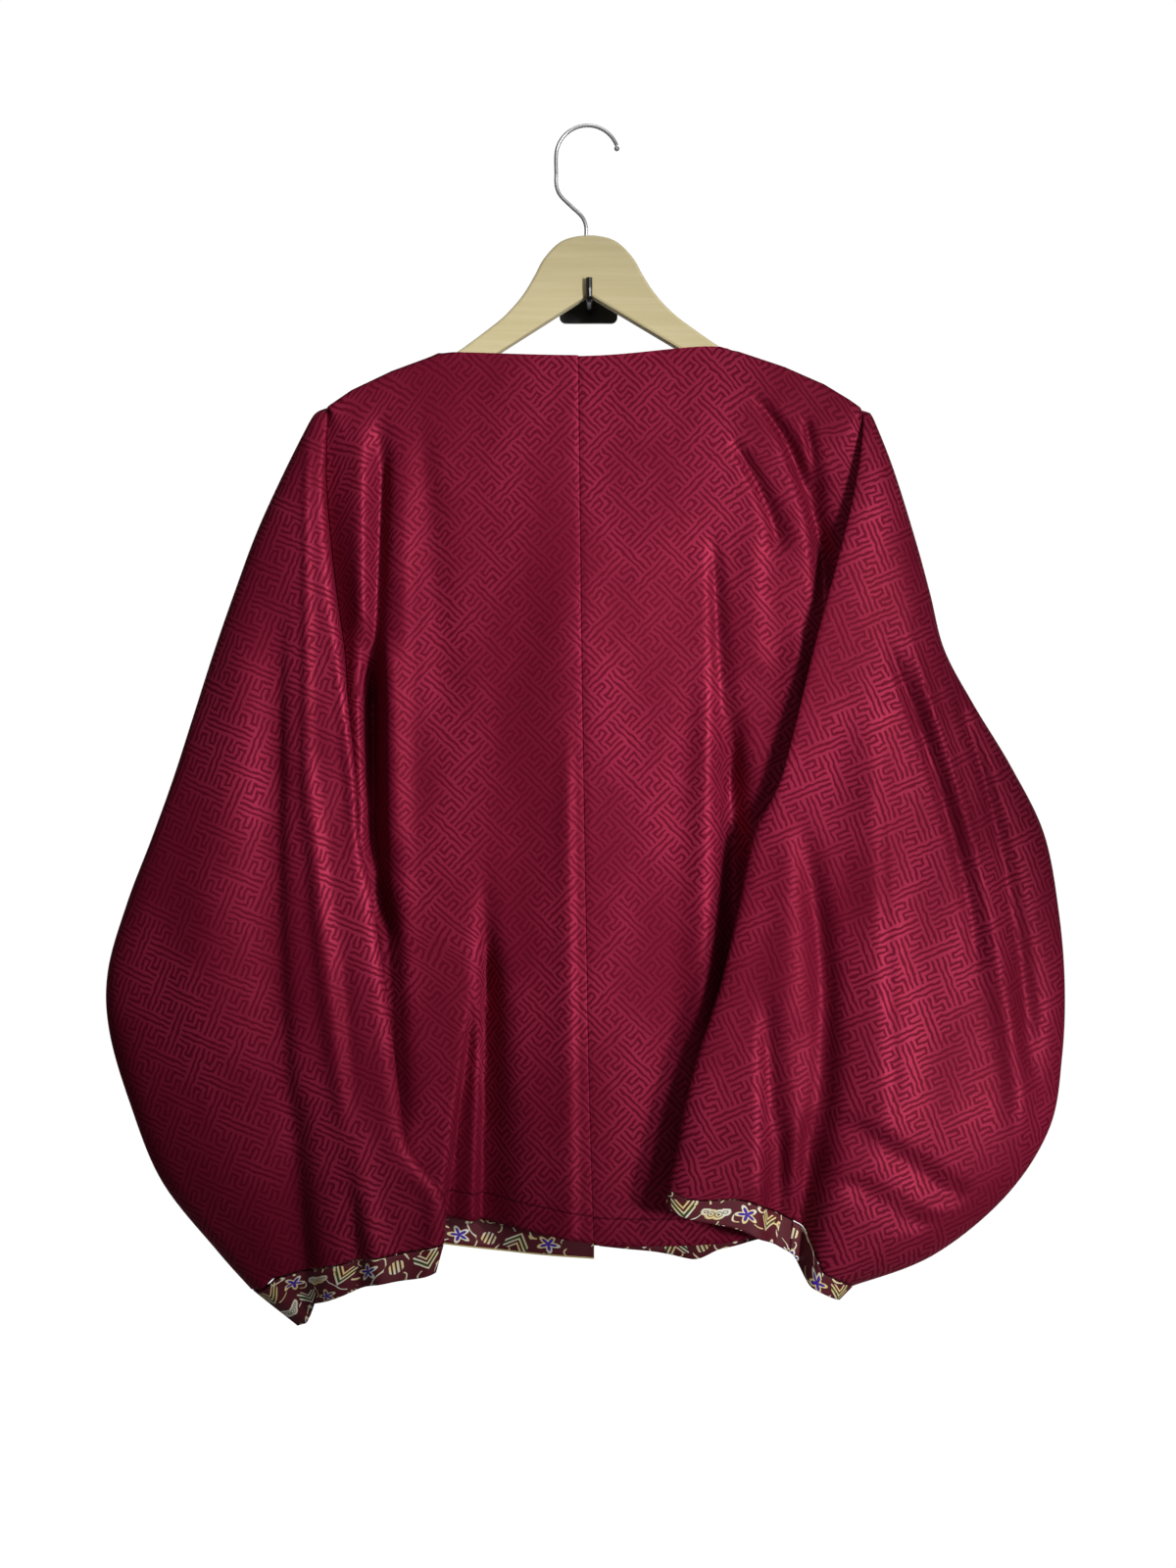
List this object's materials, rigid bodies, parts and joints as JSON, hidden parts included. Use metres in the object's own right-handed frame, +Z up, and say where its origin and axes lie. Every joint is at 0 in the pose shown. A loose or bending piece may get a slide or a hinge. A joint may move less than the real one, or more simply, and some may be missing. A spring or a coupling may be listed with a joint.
{
  "type": "hanbok jacket on a wooden hanger and wall hook",
  "caption": "Collarless damask hanbok jacket with full curved sleeves and printed cuffs and hem facings, hung by its shoulders on a wooden hanger over a black wall hook.",
  "frame": {"origin": "middle of the hook plate's back face, where the plate is fixed to the wall", "axes": "the wall is the plane y = 0 with +Y into it, +Z up, +X towards the wearer's right, so the jacket's back faces -Y"},
  "size_m": [0.7439, 0.0948, 0.9343],
  "materials": {
    "damask": "crimson satin damask with a woven fret",
    "print": "dark red cotton with a gold-edged print",
    "beech": "pale matt beech",
    "steel": "bright steel wire",
    "black_paint": "satin black"
  },
  "bodies": {
    "root": {"back_right": "damask", "back_left": "damask", "front_right": "damask", "front_left": "damask", "sleeve_right_back": "damask", "sleeve_right_front": "damask", "sleeve_left_back": "damask", "sleeve_left_front": "damask", "cuff_right_back": "print", "cuff_right_front": "print", "cuff_left_back": "print", "cuff_left_front": "print", "hem_facing_right": "print", "hem_facing_left": "print", "hanger_board": "beech", "hanger_hook": "steel", "hanger_hook_bead": "steel", "wall_hook_plate": "black_paint", "wall_hook_peg": "black_paint"}
  },
  "joints": []
}
